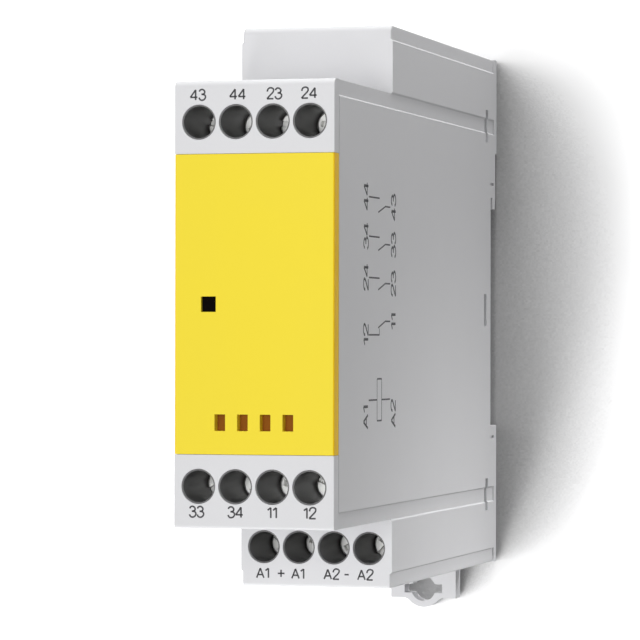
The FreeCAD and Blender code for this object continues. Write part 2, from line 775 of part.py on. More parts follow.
# ---------------------------------------------------------------- terminals
def terminal_screw(label, across, face, height, turn):
    """Screw: round head with a slot and a cross, and a plain shank for the thread."""
    body = new_body(label)
    half = new_sketch(body, "XY_Plane")
    add_outline(half, [
        ("0", "0"), ("head_width / 2 - 0.25", "0"), ("head_width / 2", "0.25"),
        ("head_width / 2", "head_thick"), ("shank_width / 2", "head_thick"),
        ("shank_width / 2", "head_thick + shank_reach - 0.4"),
        ("shank_width / 2 - 0.4", "head_thick + shank_reach"), ("0", "head_thick + shank_reach")])
    turned = body.newObject("PartDesign::Revolution", "Revolution")
    turned.Profile = half
    turned.ReferenceAxis = (half, ["V_Axis"])
    turned.Angle = 360
    doc.recompute()
    slot = new_sketch(body, "XZ_Plane")
    add_box(slot, "-head_width", "head_width", "-0.4", "0.4")
    pocket(body, slot, "1.1")
    cross = new_sketch(body, "XZ_Plane")
    add_box(cross, "-0.4", "0.4", "-1.45", "1.45")
    pocket(body, cross, "1.3")
    place(body, across, face + " + head_depth", height)
    body.Placement.Rotation = FreeCAD.Rotation(FreeCAD.Vector(0, 1, 0), turn)
    return body


def clamp_cage(label, across, face, height):
    """Rising cage: bent frame open up and down, with the threaded hole towards the screw head."""
    body = new_body(label)
    ring = new_sketch(body, "XY_Plane")
    add_box(ring, "-cage_wide / 2", "cage_wide / 2", "0", "cage_long")
    add_box(ring, "-(cage_wide / 2 - cage_side)", "cage_wide / 2 - cage_side",
            "cage_top", "cage_long - cage_floor")
    pad(body, ring, "cage_tall", both=True)
    hole = new_sketch(body, "XZ_Plane")
    add_circle(hole, "0", "0", "shank_width / 2 + thread_gap")
    pocket(body, hole, "cage_top + 0.3")
    place(body, across, face + " + cage_start", height)
    return body


def contact_bars(label, face, row, side):
    """Four flat bars of one row, each bent level from its terminal to the board."""
    body = new_body(label)
    flat = new_sketch(body, "XZ_Plane", "-(%s + bar_top)" % face)
    outer = "%d * (%s + cage_half)" % (side, row)
    inner_edge = "tower_inner" if face == "front" else "step_inner"
    for order, number in enumerate(ROW_PLACES):
        left = column(number) + " - bar_wide / 2"
        right = column(number) + " + bar_wide / 2"
        turn = "(%s - %g * bar_step)" % (inner_edge, order + 0.4)
        low = "%d * (%s - bar_wide)" % (side, turn)
        high = "%d * %s" % (side, turn)
        corner = [("board_face", high), (left, high)]
        if order == 0:
            # the first bar stands over the board's edge, so it is cut back beside the board
            notch = "%d * %s" % (side, inner_edge)
            corner = [("board_face", notch), (left, notch)]
        add_outline(flat, [(right, outer), (right, low), ("board_face", low), *corner, (left, outer)])
    pad(body, flat, "bar_thick", back=True)
    return body


def terminals():
    """Twelve screws and twelve cages, named by the numbers of their contacts."""
    rows = (
        ("top", "front", "front_row", (20, 65, 10, 100)),
        ("bottom", "front", "-front_row", (150, 40, 95, 25)),
        ("coil", "step", "-step_row", (35, 110, 60, 130)),
    )
    made = []
    for label, row in zip(("top", "bottom", "coil"), TERMINAL_ROWS):
        made.append(terminal_block("terminal_block_" + label, *row))
    for name, face, height, turns in rows:
        for number, (spot, turn) in enumerate(zip(ROW_PLACES, turns), 1):
            made.append(terminal_screw("screw_%s_%d" % (name, number), column(spot), face, height, turn))
            made.append(clamp_cage("cage_%s_%d" % (name, number), column(spot), face, height))
    made.append(contact_bars("bars_top", "front", "front_row", 1))
    made.append(contact_bars("bars_bottom", "front", "front_row", -1))
    made.append(contact_bars("bars_coil", "step", "step_row", -1))
    return made


# ---------------------------------------------------------------- circuit board
def main_board():
    """Board standing along one side wall, wide behind the terminal towers, narrow between them."""
    body = new_body("main_board")
    plan = new_sketch(body, "YZ_Plane", "board_back")
    near = "front_room + 2.8"
    shoulder = "front + tower_end + board_gap"
    far = "-board_rear"
    low = "tower_inner - board_gap"
    add_outline(plan, [
        (near, "-(%s)" % low), (shoulder, "-(%s)" % low), (shoulder, "-(block - wall - board_gap)"),
        (far, "-(block - wall - board_gap)"), (far, "block - wall - board_gap"),
        (shoulder, "block - wall - board_gap"), (shoulder, low), (near, low)])
    pad(body, plan, "board_thick")
    holes = new_sketch(body, "YZ_Plane", "board_face")
    for spot, height in pin_places():
        add_circle(holes, spot, height, "pin_wide / 2 + 0.15")
    pocket(body, holes, "board_thick + 0.5")
    return body


def pole_height(number):
    """Height of one contact pair, counted from the middle of the four."""
    return "%g * pole_pitch - pole_drop" % number


def pin_places():
    """Where the relay's pins go through the board: two of the coil and two of each contact."""
    spots = [("coil_y", "coil_low - 0.5"), ("coil_y", "coil_high + 0.5")]
    for number in ROW_PLACES:
        spots.append(("arm_y - blade_wide / 2 + 1", "%s + blade_thick / 2" % pole_height(number)))
        spots.append(("arm_y + blade_wide / 2 - 1", fixed_height(number)))
    return spots


def fixed_height(number):
    """Middle height of one fixed contact: above its spring, or below it for the break contact."""
    above = "%s + blade_thick + 2 * button_thick + contact_gap + fixed_thick / 2"
    below = "%s - 2 * button_thick - fixed_thick / 2"
    return (below if number == ROW_PLACES[0] else above) % pole_height(number)


def board_parts():
    """Capacitor, surge absorber and small chips on the free parts of the board."""
    can = doc.addObject("Part::Cylinder", "capacitor")
    bind(can, Radius="capacitor_width / 2", Height="capacitor_tall")
    place(can, "board_face", "front + 16", "capacitor_width / 2 + 4.5")
    can.Placement.Rotation = FreeCAD.Rotation(FreeCAD.Vector(0, 1, 0), 90)
    disc = doc.addObject("Part::Cylinder", "surge_absorber")
    bind(disc, Radius="absorber_width / 2", Height="absorber_thick")
    place(disc, "board_face + absorber_width / 2 + 0.3", "front + 14", "-absorber_thick - 5")
    chips = new_body("board_chips")
    plan = new_sketch(chips, "YZ_Plane", "board_face")
    for row in range(-2, 3):
        for line in range(3):
            low = "%d * chip_pitch" % row
            near = "step + 2 + %d * chip_pitch" % line
            add_box(plan, near, near + " + chip_long", low, low + " + chip_wide")
    pad(chips, plan, "chip_tall")
    return [can, disc, chips]


# ---------------------------------------------------------------- relay
def relay_base():
    """Floor of the relay, with slots where the contact blades stand."""
    body = new_body("relay_base")
    plan = new_sketch(body, "YZ_Plane", "relay_seat + relay_shell")
    edge = "relay_shell + fit_gap"
    tall = "relay_length / 2 - (%s)" % edge
    add_box(plan, "relay_near + %s" % edge, "relay_far - (%s)" % edge, "-(%s)" % tall, tall)
    pad(body, plan, "relay_floor")
    slots = new_sketch(body, "YZ_Plane", "floor_top")
    for spot, height in pin_places():
        add_circle(slots, spot, height, "pin_wide / 2 + fit_gap")
    pocket(body, slots, "relay_floor + 0.5")
    return body


def relay_cover():
    """Box-shaped relay cover, open towards the board."""
    body = new_body("relay_cover")
    plan = new_sketch(body, "YZ_Plane", "relay_seat")
    tall = "relay_length / 2"
    add_box(plan, "relay_near", "relay_far", "-" + tall, tall)
    pad(body, plan, "relay_rise")
    room = new_sketch(body, "YZ_Plane", "relay_top - relay_shell")
    add_box(room, "relay_near + relay_shell", "relay_far - relay_shell",
            "-(%s - relay_shell)" % tall, tall + " - relay_shell")
    pocket(body, room, "relay_rise")
    return body


def coil_parts():
    """Bobbin, winding and core, all about one axis along +Z."""
    bobbin = new_body("coil_bobbin")
    tube = new_sketch(bobbin, "XY_Plane")
    add_circle(tube, "0", "0", "core_width / 2 + fit_gap + bobbin_tube")
    add_circle(tube, "0", "0", "core_width / 2 + fit_gap")
    pad(bobbin, tube, "coil_length")
    for start in ("0", "coil_length - flange_thick"):
        flange = new_sketch(bobbin, "XY_Plane", start)
        half = "flange_side / 2"
        add_box(flange, "-" + half, half, "-" + half, half)
        add_circle(flange, "0", "0", "core_width / 2 + fit_gap")
        pad(bobbin, flange, "flange_thick")
    place(bobbin, "coil_x", "coil_y", "coil_low")

    winding = new_body("coil_winding")
    ring = new_sketch(winding, "XY_Plane")
    add_circle(ring, "0", "0", "coil_width / 2")
    add_circle(ring, "0", "0", "core_width / 2 + 2 * fit_gap + bobbin_tube")
    pad(winding, ring, "coil_length - 2 * flange_thick - 2 * fit_gap")
    place(winding, "coil_x", "coil_y", "coil_low + flange_thick + fit_gap")

    core = doc.addObject("Part::Cylinder", "coil_core")
    bind(core, Radius="core_width / 2", Height="core_end - coil_low + fit_gap")
    place(core, "coil_x", "coil_y", "coil_low - fit_gap")
    return [bobbin, winding, core]


def yoke():
    """L-shaped iron that carries the core below and the armature's edge above."""
    body = new_body("yoke")
    side = new_sketch(body, "YZ_Plane", "coil_x - yoke_wide / 2")
    foot = "coil_low - fit_gap"
    add_outline(side, [
        ("coil_y - 3", foot + " - yoke_thick"), ("yoke_near + yoke_thick", foot + " - yoke_thick"),
        ("yoke_near + yoke_thick", "hinge_z - 0.1"), ("yoke_near", "hinge_z - 0.1"),
        ("yoke_near", foot), ("coil_y - 3", foot)])
    pad(body, side, "yoke_wide")
    return body


def armature():
    """Armature plate over the core, with an arm and a finger that drive the card."""
    body = new_body("armature")
    plan = new_sketch(body, "XY_Plane", "hinge_z")
    near = "coil_y - core_width / 2 - 1.5"
    arm_far = "arm_y + arm_finger / 2"
    left = "coil_x - yoke_wide / 2"
    right = "coil_x + yoke_wide / 2"
    add_outline(plan, [
        (left, near), (right, near), (right, "hinge_y + 1"),
        (right, "arm_y - arm_finger / 2"), ("card_x + card_thick + 0.4", "arm_y - arm_finger / 2"),
        ("card_x + card_thick + 0.4", arm_far), ("coil_x + 1", arm_far), ("coil_x + 1", "hinge_y + 1"),
        (left, "hinge_y + 1")])
    pad(body, plan, "armature_thick")
    return body


def actuating_card():
    """Comb that ties the four springs together, so that no contact can move alone."""
    body = new_body("actuating_card")
    plan = new_sketch(body, "YZ_Plane", "card_x")
    low = "%s - 2" % pole_height(ROW_PLACES[0])
    high = "hinge_z + armature_thick + 2.5"
    half = "card_wide / 2"
    add_box(plan, "arm_y - " + half, "arm_y + " + half, low, high)
    pad(body, plan, "card_thick")
    slots = new_sketch(body, "YZ_Plane", "card_x + card_thick")
    for number in ROW_PLACES:
        middle = pole_height(number)
        wide = "blade_wide / 2 + card_play"
        add_box(slots, "arm_y - (%s)" % wide, "arm_y + %s" % wide,
                middle + " - 2 * fit_gap", middle + " + blade_thick + 2 * fit_gap")
    wide = "arm_finger / 2 + 2 * card_play"
    add_box(slots, "arm_y - (%s)" % wide, "arm_y + %s" % wide,
            "hinge_z - card_play", "hinge_z + armature_thick + card_play")
    pocket(body, slots, "card_thick + 0.5")
    return body


def contact_springs():
    """Four moving springs: blade, pin and contact button each."""
    springs = []
    for number in ROW_PLACES:
        low = pole_height(number)
        blade = blade_shape(low, "blade_thick", "card_x + card_thick + 0.5", -1)
        way = -1 if number == ROW_PLACES[0] else 1
        face = "%s + %s" % (low, "0" if way < 0 else "blade_thick")
        springs.append(blade.fuse(button_shape(face, way)))
    return shape_group("moving_contacts", springs)


def fixed_contacts():
    """Four fixed contacts facing the springs."""
    blades = []
    for number in ROW_PLACES:
        middle = fixed_height(number)
        low = middle + " - fixed_thick / 2"
        blade = blade_shape(low, "fixed_thick", "card_x - 1", 1)
        way = 1 if number == ROW_PLACES[0] else -1
        face = "%s + %s" % (low, "fixed_thick" if way > 0 else "0")
        blades.append(blade.fuse(button_shape(face, way)))
    return shape_group("fixed_contacts", blades)


def blade_shape(low, thick, high_x, side):
    """Upright blade with a pin on one side of its foot."""
    start = FreeCAD.Vector(length("floor_top"), length("arm_y - blade_wide / 2"), length(low))
    blade = Part.makeBox(length(high_x) - start.x, length("blade_wide"), length(thick), start)
    spot = "arm_y + %d * (blade_wide / 2 - 1)" % side
    foot = FreeCAD.Vector(length("pin_end"), length(spot), length(low) + length(thick) / 2)
    reach = start.x - foot.x + 0.5
    pin = Part.makeCylinder(length("pin_wide") / 2, reach, foot, FreeCAD.Vector(1, 0, 0))
    return blade.fuse(pin)


def button_shape(face, way):
    """Contact button standing out of a blade."""
    spot = FreeCAD.Vector(length("card_x - 2.6"), length("arm_y"), length(face) - way * 0.05)
    return Part.makeCylinder(length("button_width") / 2, length("button_thick") + 0.05, spot,
                             FreeCAD.Vector(0, 0, way))


def shape_group(label, solids):
    """Several equal solids under one name."""
    group = doc.addObject("Part::Feature", label)
    group.Shape = Part.makeCompound([solid.removeSplitter() for solid in solids])
    return group


def coil_pins():
    """Two pins of the coil, from the bobbin's side through the board."""
    pins = []
    for spot, height in pin_places()[:2]:
        start = FreeCAD.Vector(length("pin_end"), length(spot), length(height))
        pins.append(Part.makeCylinder(length("pin_wide") / 2, length("floor_top - pin_end"), start,
                                      FreeCAD.Vector(1, 0, 0)))
    return shape_group("coil_pins", pins)


# ---------------------------------------------------------------- build and export
subparts = [
    housing_hood(), rear_base(), front_cover(), marker_strip(), light_pipe(), status_led(),
    rail_foot(), foot_spring(), *terminals(), main_board(), *board_parts(),
    relay_base(), relay_cover(), *coil_parts(), yoke(), armature(), actuating_card(),
    contact_springs(), fixed_contacts(), coil_pins(),
]
doc.recompute()

for thing in doc.Objects:
    if "Invalid" in thing.State or "Error" in thing.State:
        raise ValueError(thing.Label + " did not build")
for piece in subparts:
    if piece.Shape.isNull() or not piece.Shape.isValid():
        raise ValueError(piece.Label + " has no valid shape")

os.makedirs("parts", exist_ok=True)
for piece in subparts:
    piece.Shape.exportStep("parts/%s.step" % piece.Label)
print(len(subparts), "sub-parts")
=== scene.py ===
import math

import bpy
from mathutils import Matrix, Quaternion, Vector


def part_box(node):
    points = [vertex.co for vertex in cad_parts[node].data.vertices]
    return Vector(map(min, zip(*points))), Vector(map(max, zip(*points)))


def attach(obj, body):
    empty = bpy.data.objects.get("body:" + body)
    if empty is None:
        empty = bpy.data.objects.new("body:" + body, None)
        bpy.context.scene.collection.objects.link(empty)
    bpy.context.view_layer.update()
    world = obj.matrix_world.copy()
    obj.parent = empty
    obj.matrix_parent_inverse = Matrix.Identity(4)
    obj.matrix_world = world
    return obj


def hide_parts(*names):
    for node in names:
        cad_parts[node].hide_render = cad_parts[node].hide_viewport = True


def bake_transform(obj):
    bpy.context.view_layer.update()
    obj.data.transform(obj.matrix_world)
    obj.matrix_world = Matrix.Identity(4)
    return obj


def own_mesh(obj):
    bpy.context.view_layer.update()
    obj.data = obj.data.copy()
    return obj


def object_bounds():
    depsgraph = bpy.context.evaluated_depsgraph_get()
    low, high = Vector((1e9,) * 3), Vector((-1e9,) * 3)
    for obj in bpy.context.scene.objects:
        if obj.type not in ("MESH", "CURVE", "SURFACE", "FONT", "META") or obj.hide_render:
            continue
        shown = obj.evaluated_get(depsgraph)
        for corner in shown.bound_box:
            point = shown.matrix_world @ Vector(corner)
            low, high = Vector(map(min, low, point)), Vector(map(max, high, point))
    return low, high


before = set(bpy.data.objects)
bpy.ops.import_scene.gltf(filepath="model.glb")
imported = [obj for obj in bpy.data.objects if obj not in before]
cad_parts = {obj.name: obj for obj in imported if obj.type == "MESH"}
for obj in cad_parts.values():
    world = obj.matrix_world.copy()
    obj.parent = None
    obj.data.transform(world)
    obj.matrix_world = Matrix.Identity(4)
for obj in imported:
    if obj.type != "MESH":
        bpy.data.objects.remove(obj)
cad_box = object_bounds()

# ---- Studio --------------------------------------------------------------------------------
# The module lies on its back on white card. One large soft lamp lights its face from the left,
# small ones fill its face, steps and foot, and the rest light its sides from beyond the card.

MM = 0.001
# Sockets of a Mix node that is set to colours.
MIX_FACTOR, MIX_FIRST, MIX_SECOND, MIX_RESULT = 0, 6, 7, 2


class Number:
    """A value that varies over a surface; arithmetic on it adds Math nodes to its graph."""

    def __init__(self, graph, socket):
        self.graph = graph
        self.socket = socket

    def math(self, operation, *terms, clamp=False):
        settings = {"operation": operation, "use_clamp": clamp}
        return self.graph.node("ShaderNodeMath", settings, dict(enumerate(terms)))

    def __add__(self, other):
        return self.math("ADD", self, other)

    def __sub__(self, other):
        return self.math("SUBTRACT", self, other)

    def __rsub__(self, other):
        return self.math("SUBTRACT", other, self)

    def __mul__(self, other):
        return self.math("MULTIPLY", self, other)

    __radd__ = __add__
    __rmul__ = __mul__

    def above(self, edge, softness):
        """0 below the edge and 1 above it, with a soft step between."""
        return self.math("MULTIPLY", self - (edge - softness / 2), 1 / softness, clamp=True)


class Graph:
    """The nodes of the world or of a material."""

    def __init__(self, tree):
        self.tree = tree

    def node(self, kind, settings, values, out=0):
        """Adds a node, gives it its settings first and then the values or links of its sockets."""
        made = self.tree.nodes.new(kind)
        for name, value in settings.items():
            setattr(made, name, value)
        for socket, value in values.items():
            if isinstance(value, Number):
                self.tree.links.new(value.socket, made.inputs[socket])
            else:
                made.inputs[socket].default_value = value
        return Number(self, made.outputs[out])

    def seen(self):
        """1 where the camera, a reflection or clear glass looks, and 0 where light is gathered."""
        looks = sum(self.node("ShaderNodeLightPath", {}, {}, f"Is {way} Ray")
                    for way in ("Camera", "Transmission", "Glossy"))
        return looks.math("MINIMUM", looks, 1.0)

    def feed(self, shader, socket, value):
        self.tree.links.new(value.socket, self.tree.nodes[shader].inputs[socket])


class Finish(Graph):
    """A material for one kind of surface. Its shader's own sockets take what is constant."""

    def __init__(self, name, color, **constants):
        self.material = bpy.data.materials.new(name)
        self.material.use_nodes = True
        super().__init__(self.material.node_tree)
        shader = self.tree.nodes["Principled BSDF"]
        shader.inputs["Base Color"].default_value = (*color, 1)
        self.material.diffuse_color = (*color, 1)
        for socket, value in constants.items():
            shader.inputs[socket.replace("_", " ")].default_value = value

    def give(self, socket, value):
        """Lets this value drive a socket of the shader."""
        self.feed("Principled BSDF", socket, value)

    def place(self):
        return self.node("ShaderNodeTexCoord", {}, {}, "Object")

    def noise(self, size, detail=2.0, stretch=(1, 1, 1)):
        """Cloudy variation from 0 to 1 with lumps of about this size."""
        spread = self.node("ShaderNodeMapping", {}, {"Vector": self.place(), "Scale": stretch})
        lumps = {"Vector": spread, "Scale": 1 / size, "Detail": detail}
        return self.node("ShaderNodeTexNoise", {}, lumps)

    def shade(self, amount, first, second):
        """Goes from the first colour to the second with the amount."""
        first, second = (tint if isinstance(tint, Number) else (*tint, 1)
                         for tint in (first, second))
        sockets = {MIX_FACTOR: amount, MIX_FIRST: first, MIX_SECOND: second}
        return self.node("ShaderNodeMix", {"data_type": "RGBA"}, sockets, MIX_RESULT)

    def relief(self, height, depth, radius):
        """Fine surface relief of this depth over edges that look rounded by the radius."""
        soft = self.node("ShaderNodeBevel", {"samples": 6}, {"Radius": radius})
        bumps = {"Strength": 1.0, "Distance": depth, "Height": height, "Normal": soft}
        self.give("Normal", self.node("ShaderNodeBump", {}, bumps))


def finished(finish, *nodes):
    """Gives CAD nodes this finish, in the slots that they already have."""
    for name in nodes:
        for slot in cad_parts[name].material_slots:
            slot.material = finish.material


def deselect():
    for other in bpy.context.selected_objects:
        other.select_set(False)


# The world looks white, and gives less light than it shows.
WORLD_LIGHT = 0.25
world = bpy.data.worlds.new("studio_air")
bpy.context.scene.world = world
world.use_nodes = True
air = Graph(world.node_tree)
air.feed("Background", "Strength", air.seen() * (1 - WORLD_LIGHT) + WORLD_LIGHT)
air.tree.nodes["Background"].inputs["Color"].default_value = (1, 1, 1, 1)

# The card shows only its face, and lets lamps behind it shine through. Its colour carries a
# painted shadow: darker where an occlusion test finds the module hiding the light that comes from
# the left.
CARD_GAP, CARD_WIDE = 0.4 * MM, 1.6
SHADE_REACH, SHADE_WAY = 42 * MM, (-0.85, -0.52, 0)
SHADE_MIDDLE, SHADE_SOFT = 0.50, 0.5
CARD_DARK, CARD_BRIGHT = (0.10, 0.10, 0.10), (1.45, 1.45, 1.45)
deselect()
bpy.ops.mesh.primitive_grid_add(
    x_subdivisions=2, y_subdivisions=2, size=CARD_WIDE,
    location=(0, cad_box[1].y + CARD_GAP, 0), rotation=(math.pi / 2, 0, 0))
card = bpy.context.active_object
card.name = "card_underneath"
bpy.ops.object.transform_apply(location=True, rotation=True, scale=True)
chalk = Finish("white_card", (1, 1, 1), Roughness=1.0, Specular_IOR_Level=0.0)
leftward = chalk.node("ShaderNodeCombineXYZ", {}, dict(enumerate(SHADE_WAY)))
open_sky = chalk.node("ShaderNodeAmbientOcclusion", {"samples": 8},
                      {"Distance": SHADE_REACH, "Normal": leftward}, "AO")
# Painted shadow: the card's colour goes from dark to white with the occlusion toward the left.
card_painted_shadow = chalk.shade(open_sky.above(SHADE_MIDDLE, SHADE_SOFT), CARD_DARK, CARD_BRIGHT)
behind = chalk.node("ShaderNodeNewGeometry", {}, {}, "Backfacing")
clear = chalk.node("ShaderNodeBsdfTransparent", {}, {})
matt = chalk.node("ShaderNodeBsdfDiffuse", {}, {"Color": card_painted_shadow})
layers = {0: chalk.seen() * (1 - behind), 1: clear, 2: matt}
chalk.feed("Material Output", "Surface", chalk.node("ShaderNodeMixShader", {}, layers))
card.data.materials.append(chalk.material)


def soft_lamp(name, place, aim, width, watts, spread=math.pi):
    """A square studio lamp of this width, aimed at a point."""
    data = bpy.data.lights.new(name, "AREA")
    data.size = width
    data.energy = watts
    data.spread = spread
    lamp = bpy.data.objects.new(name, data)
    lamp.location = place
    lamp.rotation_euler = (Vector(aim) - Vector(place)).to_track_quat("-Z", "Y").to_euler()
    bpy.context.scene.collection.objects.link(lamp)
    return lamp


MIDDLE_OF_SIDE = (0.011, -0.04, -0.01)
soft_lamp("key_lamp", (-0.24, -2.08, -0.02), (0, -0.09, 0), 0.50, 12.3)
near_lamp = soft_lamp("near_lamp", (0.030, -0.252, -0.003), (0, -0.094, 0), 0.05, 0.080)
brow_lamp = soft_lamp("brow_lamp", (0.0, -0.16, 0.20), (0, -0.07, 0.03), 0.06, 0.14)
foot_lamp = soft_lamp("foot_lamp", (-0.06, -0.12, -0.21), (0, -0.01, -0.04), 0.06, 0.29)
for lamp in (near_lamp, brow_lamp, foot_lamp):
    lamp.visible_camera = False
soft_lamp("top_lamp", (0.09, 0.06, 0.45), (0.011, -0.04, 0), 0.15, 1.3)
soft_lamp("side_lamp", (0.16, 0.05, 0.14), MIDDLE_OF_SIDE, 0.08, 0.055)
soft_lamp("low_lamp", (0.16, 0.05, 0.06), (0.011, -0.04, -0.10), 0.05, 0.022, math.radians(50))
soft_lamp("rear_lamp", (-0.60, 0.90, 0.35), (0, 0, 0), 0.50, 6.0)

# The camera looks down on the module's face from a little to the right.
EYE_PLACE = (0.1370, -0.5488, -0.0052)
PAN, TILT, ROLL = math.radians(15.68), math.radians(0.37), math.radians(0.09)
FOCAL_LENGTH, FILM_WIDTH, NEAREST = 197.9, 36, 0.01
eye = bpy.data.cameras.new("camera")
eye.lens = FOCAL_LENGTH
eye.sensor_width = FILM_WIDTH
eye.clip_start = NEAREST
camera = bpy.data.objects.new("camera", eye)
camera.location = EYE_PLACE
camera.rotation_mode = "QUATERNION"
camera.rotation_quaternion = (Quaternion((0, 0, 1), PAN)
                              @ Quaternion((1, 0, 0), math.pi / 2 + TILT)
                              @ Quaternion((0, 0, 1), ROLL))
bpy.context.scene.collection.objects.link(camera)
bpy.context.scene.camera = camera
bpy.context.scene.view_settings.view_transform = "Standard"

# ---- Rear base -----------------------------------------------------------------------------
# Injection-moulded polyamide base with the rail hook, the foot's channel and lugs that snap into
# the hood. Light grey with a fine spark-eroded grain.

GREY = (0.725, 0.725, 0.74)
CLOUD_SIZE, CLOUD_PART, SPECKLE_PART = 9 * MM, 0.6, 0.4
SPECKLE_GRAINS, MOTTLE_MIDDLE, MOTTLE_SOFT = 2.4, 0.5, 0.8
CLOUD_DULLING = 0.12
GRAIN_DEPTH, SOFT_EDGE = 0.006 * MM, 0.05 * MM


def moulded(name, color, darker=0.95, gloss=0.52, grain=0.05 * MM, sheen=0.22):
    """Matt moulded plastic: fine grain, faint clouding, a little duller in the clouds."""
    finish = Finish(name, color, IOR=1.5, Specular_IOR_Level=sheen)
    clouds = finish.noise(CLOUD_SIZE, 3)
    speckle = finish.noise(grain * SPECKLE_GRAINS, 1)
    mottled = (clouds * CLOUD_PART + speckle * SPECKLE_PART).above(MOTTLE_MIDDLE, MOTTLE_SOFT)
    finish.skin = finish.shade(mottled, [part * darker for part in color], color)
    finish.give("Base Color", finish.skin)
    finish.give("Roughness", gloss + clouds * CLOUD_DULLING)
    finish.relief(finish.noise(grain, 2), GRAIN_DEPTH, SOFT_EDGE)
    return finish


base_plastic = moulded("base_plastic", GREY)
finished(base_plastic, "rear_base")

# ---- Circuit board -------------------------------------------------------------------------
# Glass-epoxy board with the supply's parts: an electrolytic capacitor, a disc surge absorber and
# small chips. It carries the relay and the contact bars.

TRACK_PITCH, TRACK_STRETCH, TRACK_HIGH = 1.6 * MM, (1, 1, 0.3), 0.02 * MM
board_finish = Finish("solder_mask", (0.02, 0.12, 0.05), Roughness=0.35, IOR=1.5)
tracks = board_finish.noise(TRACK_PITCH, 1, TRACK_STRETCH).above(0.55, 0.03)
board_finish.give("Base Color",
                  board_finish.shade(tracks, (0.015, 0.10, 0.04), (0.03, 0.19, 0.08)))
board_finish.relief(tracks, TRACK_HIGH, 0.08 * MM)
finished(board_finish, "main_board")

can_sleeve = moulded("can_sleeve", (0.025, 0.03, 0.05), gloss=0.3)
finished(can_sleeve, "capacitor")
absorber_coat = moulded("absorber_coat", (0.03, 0.09, 0.30), gloss=0.28)
finished(absorber_coat, "surge_absorber")
chip_plastic = moulded("chip_plastic", (0.02, 0.02, 0.022), gloss=0.5)
finished(chip_plastic, "board_chips")

# ---- Relay ---------------------------------------------------------------------------------
# Sealed relay with force-guided contacts: black base and cover, white bobbin wound with enamelled
# wire, soft-iron core, yoke and armature, a card that moves all the springs at once.

relay_plastic = moulded("relay_plastic", (0.03, 0.032, 0.035), gloss=0.4)
finished(relay_plastic, "relay_base", "relay_cover")
bobbin_plastic = moulded("bobbin_plastic", (0.72, 0.70, 0.64), gloss=0.42)
finished(bobbin_plastic, "coil_bobbin", "actuating_card")


DULL_SIZE, DULL_TINT, DULLING = 2.2 * MM, 0.82, 0.16
MARK_DEPTH, MARK_DULLING = 0.004 * MM, 0.06
METAL_EDGE = 0.06 * MM


def metal(name, color, roughness=0.32, grain=0.25 * MM, stretch=(1, 1, 1)):
    """Bare or plated metal with fine drawing marks and patches of dulling."""
    finish = Finish(name, color, Metallic=1.0)
    dull = finish.noise(DULL_SIZE, 3)
    marks = finish.noise(grain, 2, stretch)
    finish.give("Base Color", finish.shade(dull, [part * DULL_TINT for part in color], color))
    finish.give("Roughness", roughness - MARK_DULLING + dull * DULLING + marks * MARK_DULLING)
    finish.relief(marks, MARK_DEPTH, METAL_EDGE)
    return finish


enamelled_wire = metal("enamelled_wire", (0.62, 0.25, 0.10), 0.3, 0.12 * MM, (1, 1, 9))
finished(enamelled_wire, "coil_winding")
soft_iron = metal("soft_iron", (0.50, 0.49, 0.47), 0.38)
finished(soft_iron, "coil_core", "yoke", "armature")
contact_metal = metal("contact_metal", (0.80, 0.72, 0.55), 0.25)
finished(contact_metal, "moving_contacts", "fixed_contacts")
tinned = metal("tinned", (0.72, 0.71, 0.69), 0.3)
finished(tinned, "coil_pins")
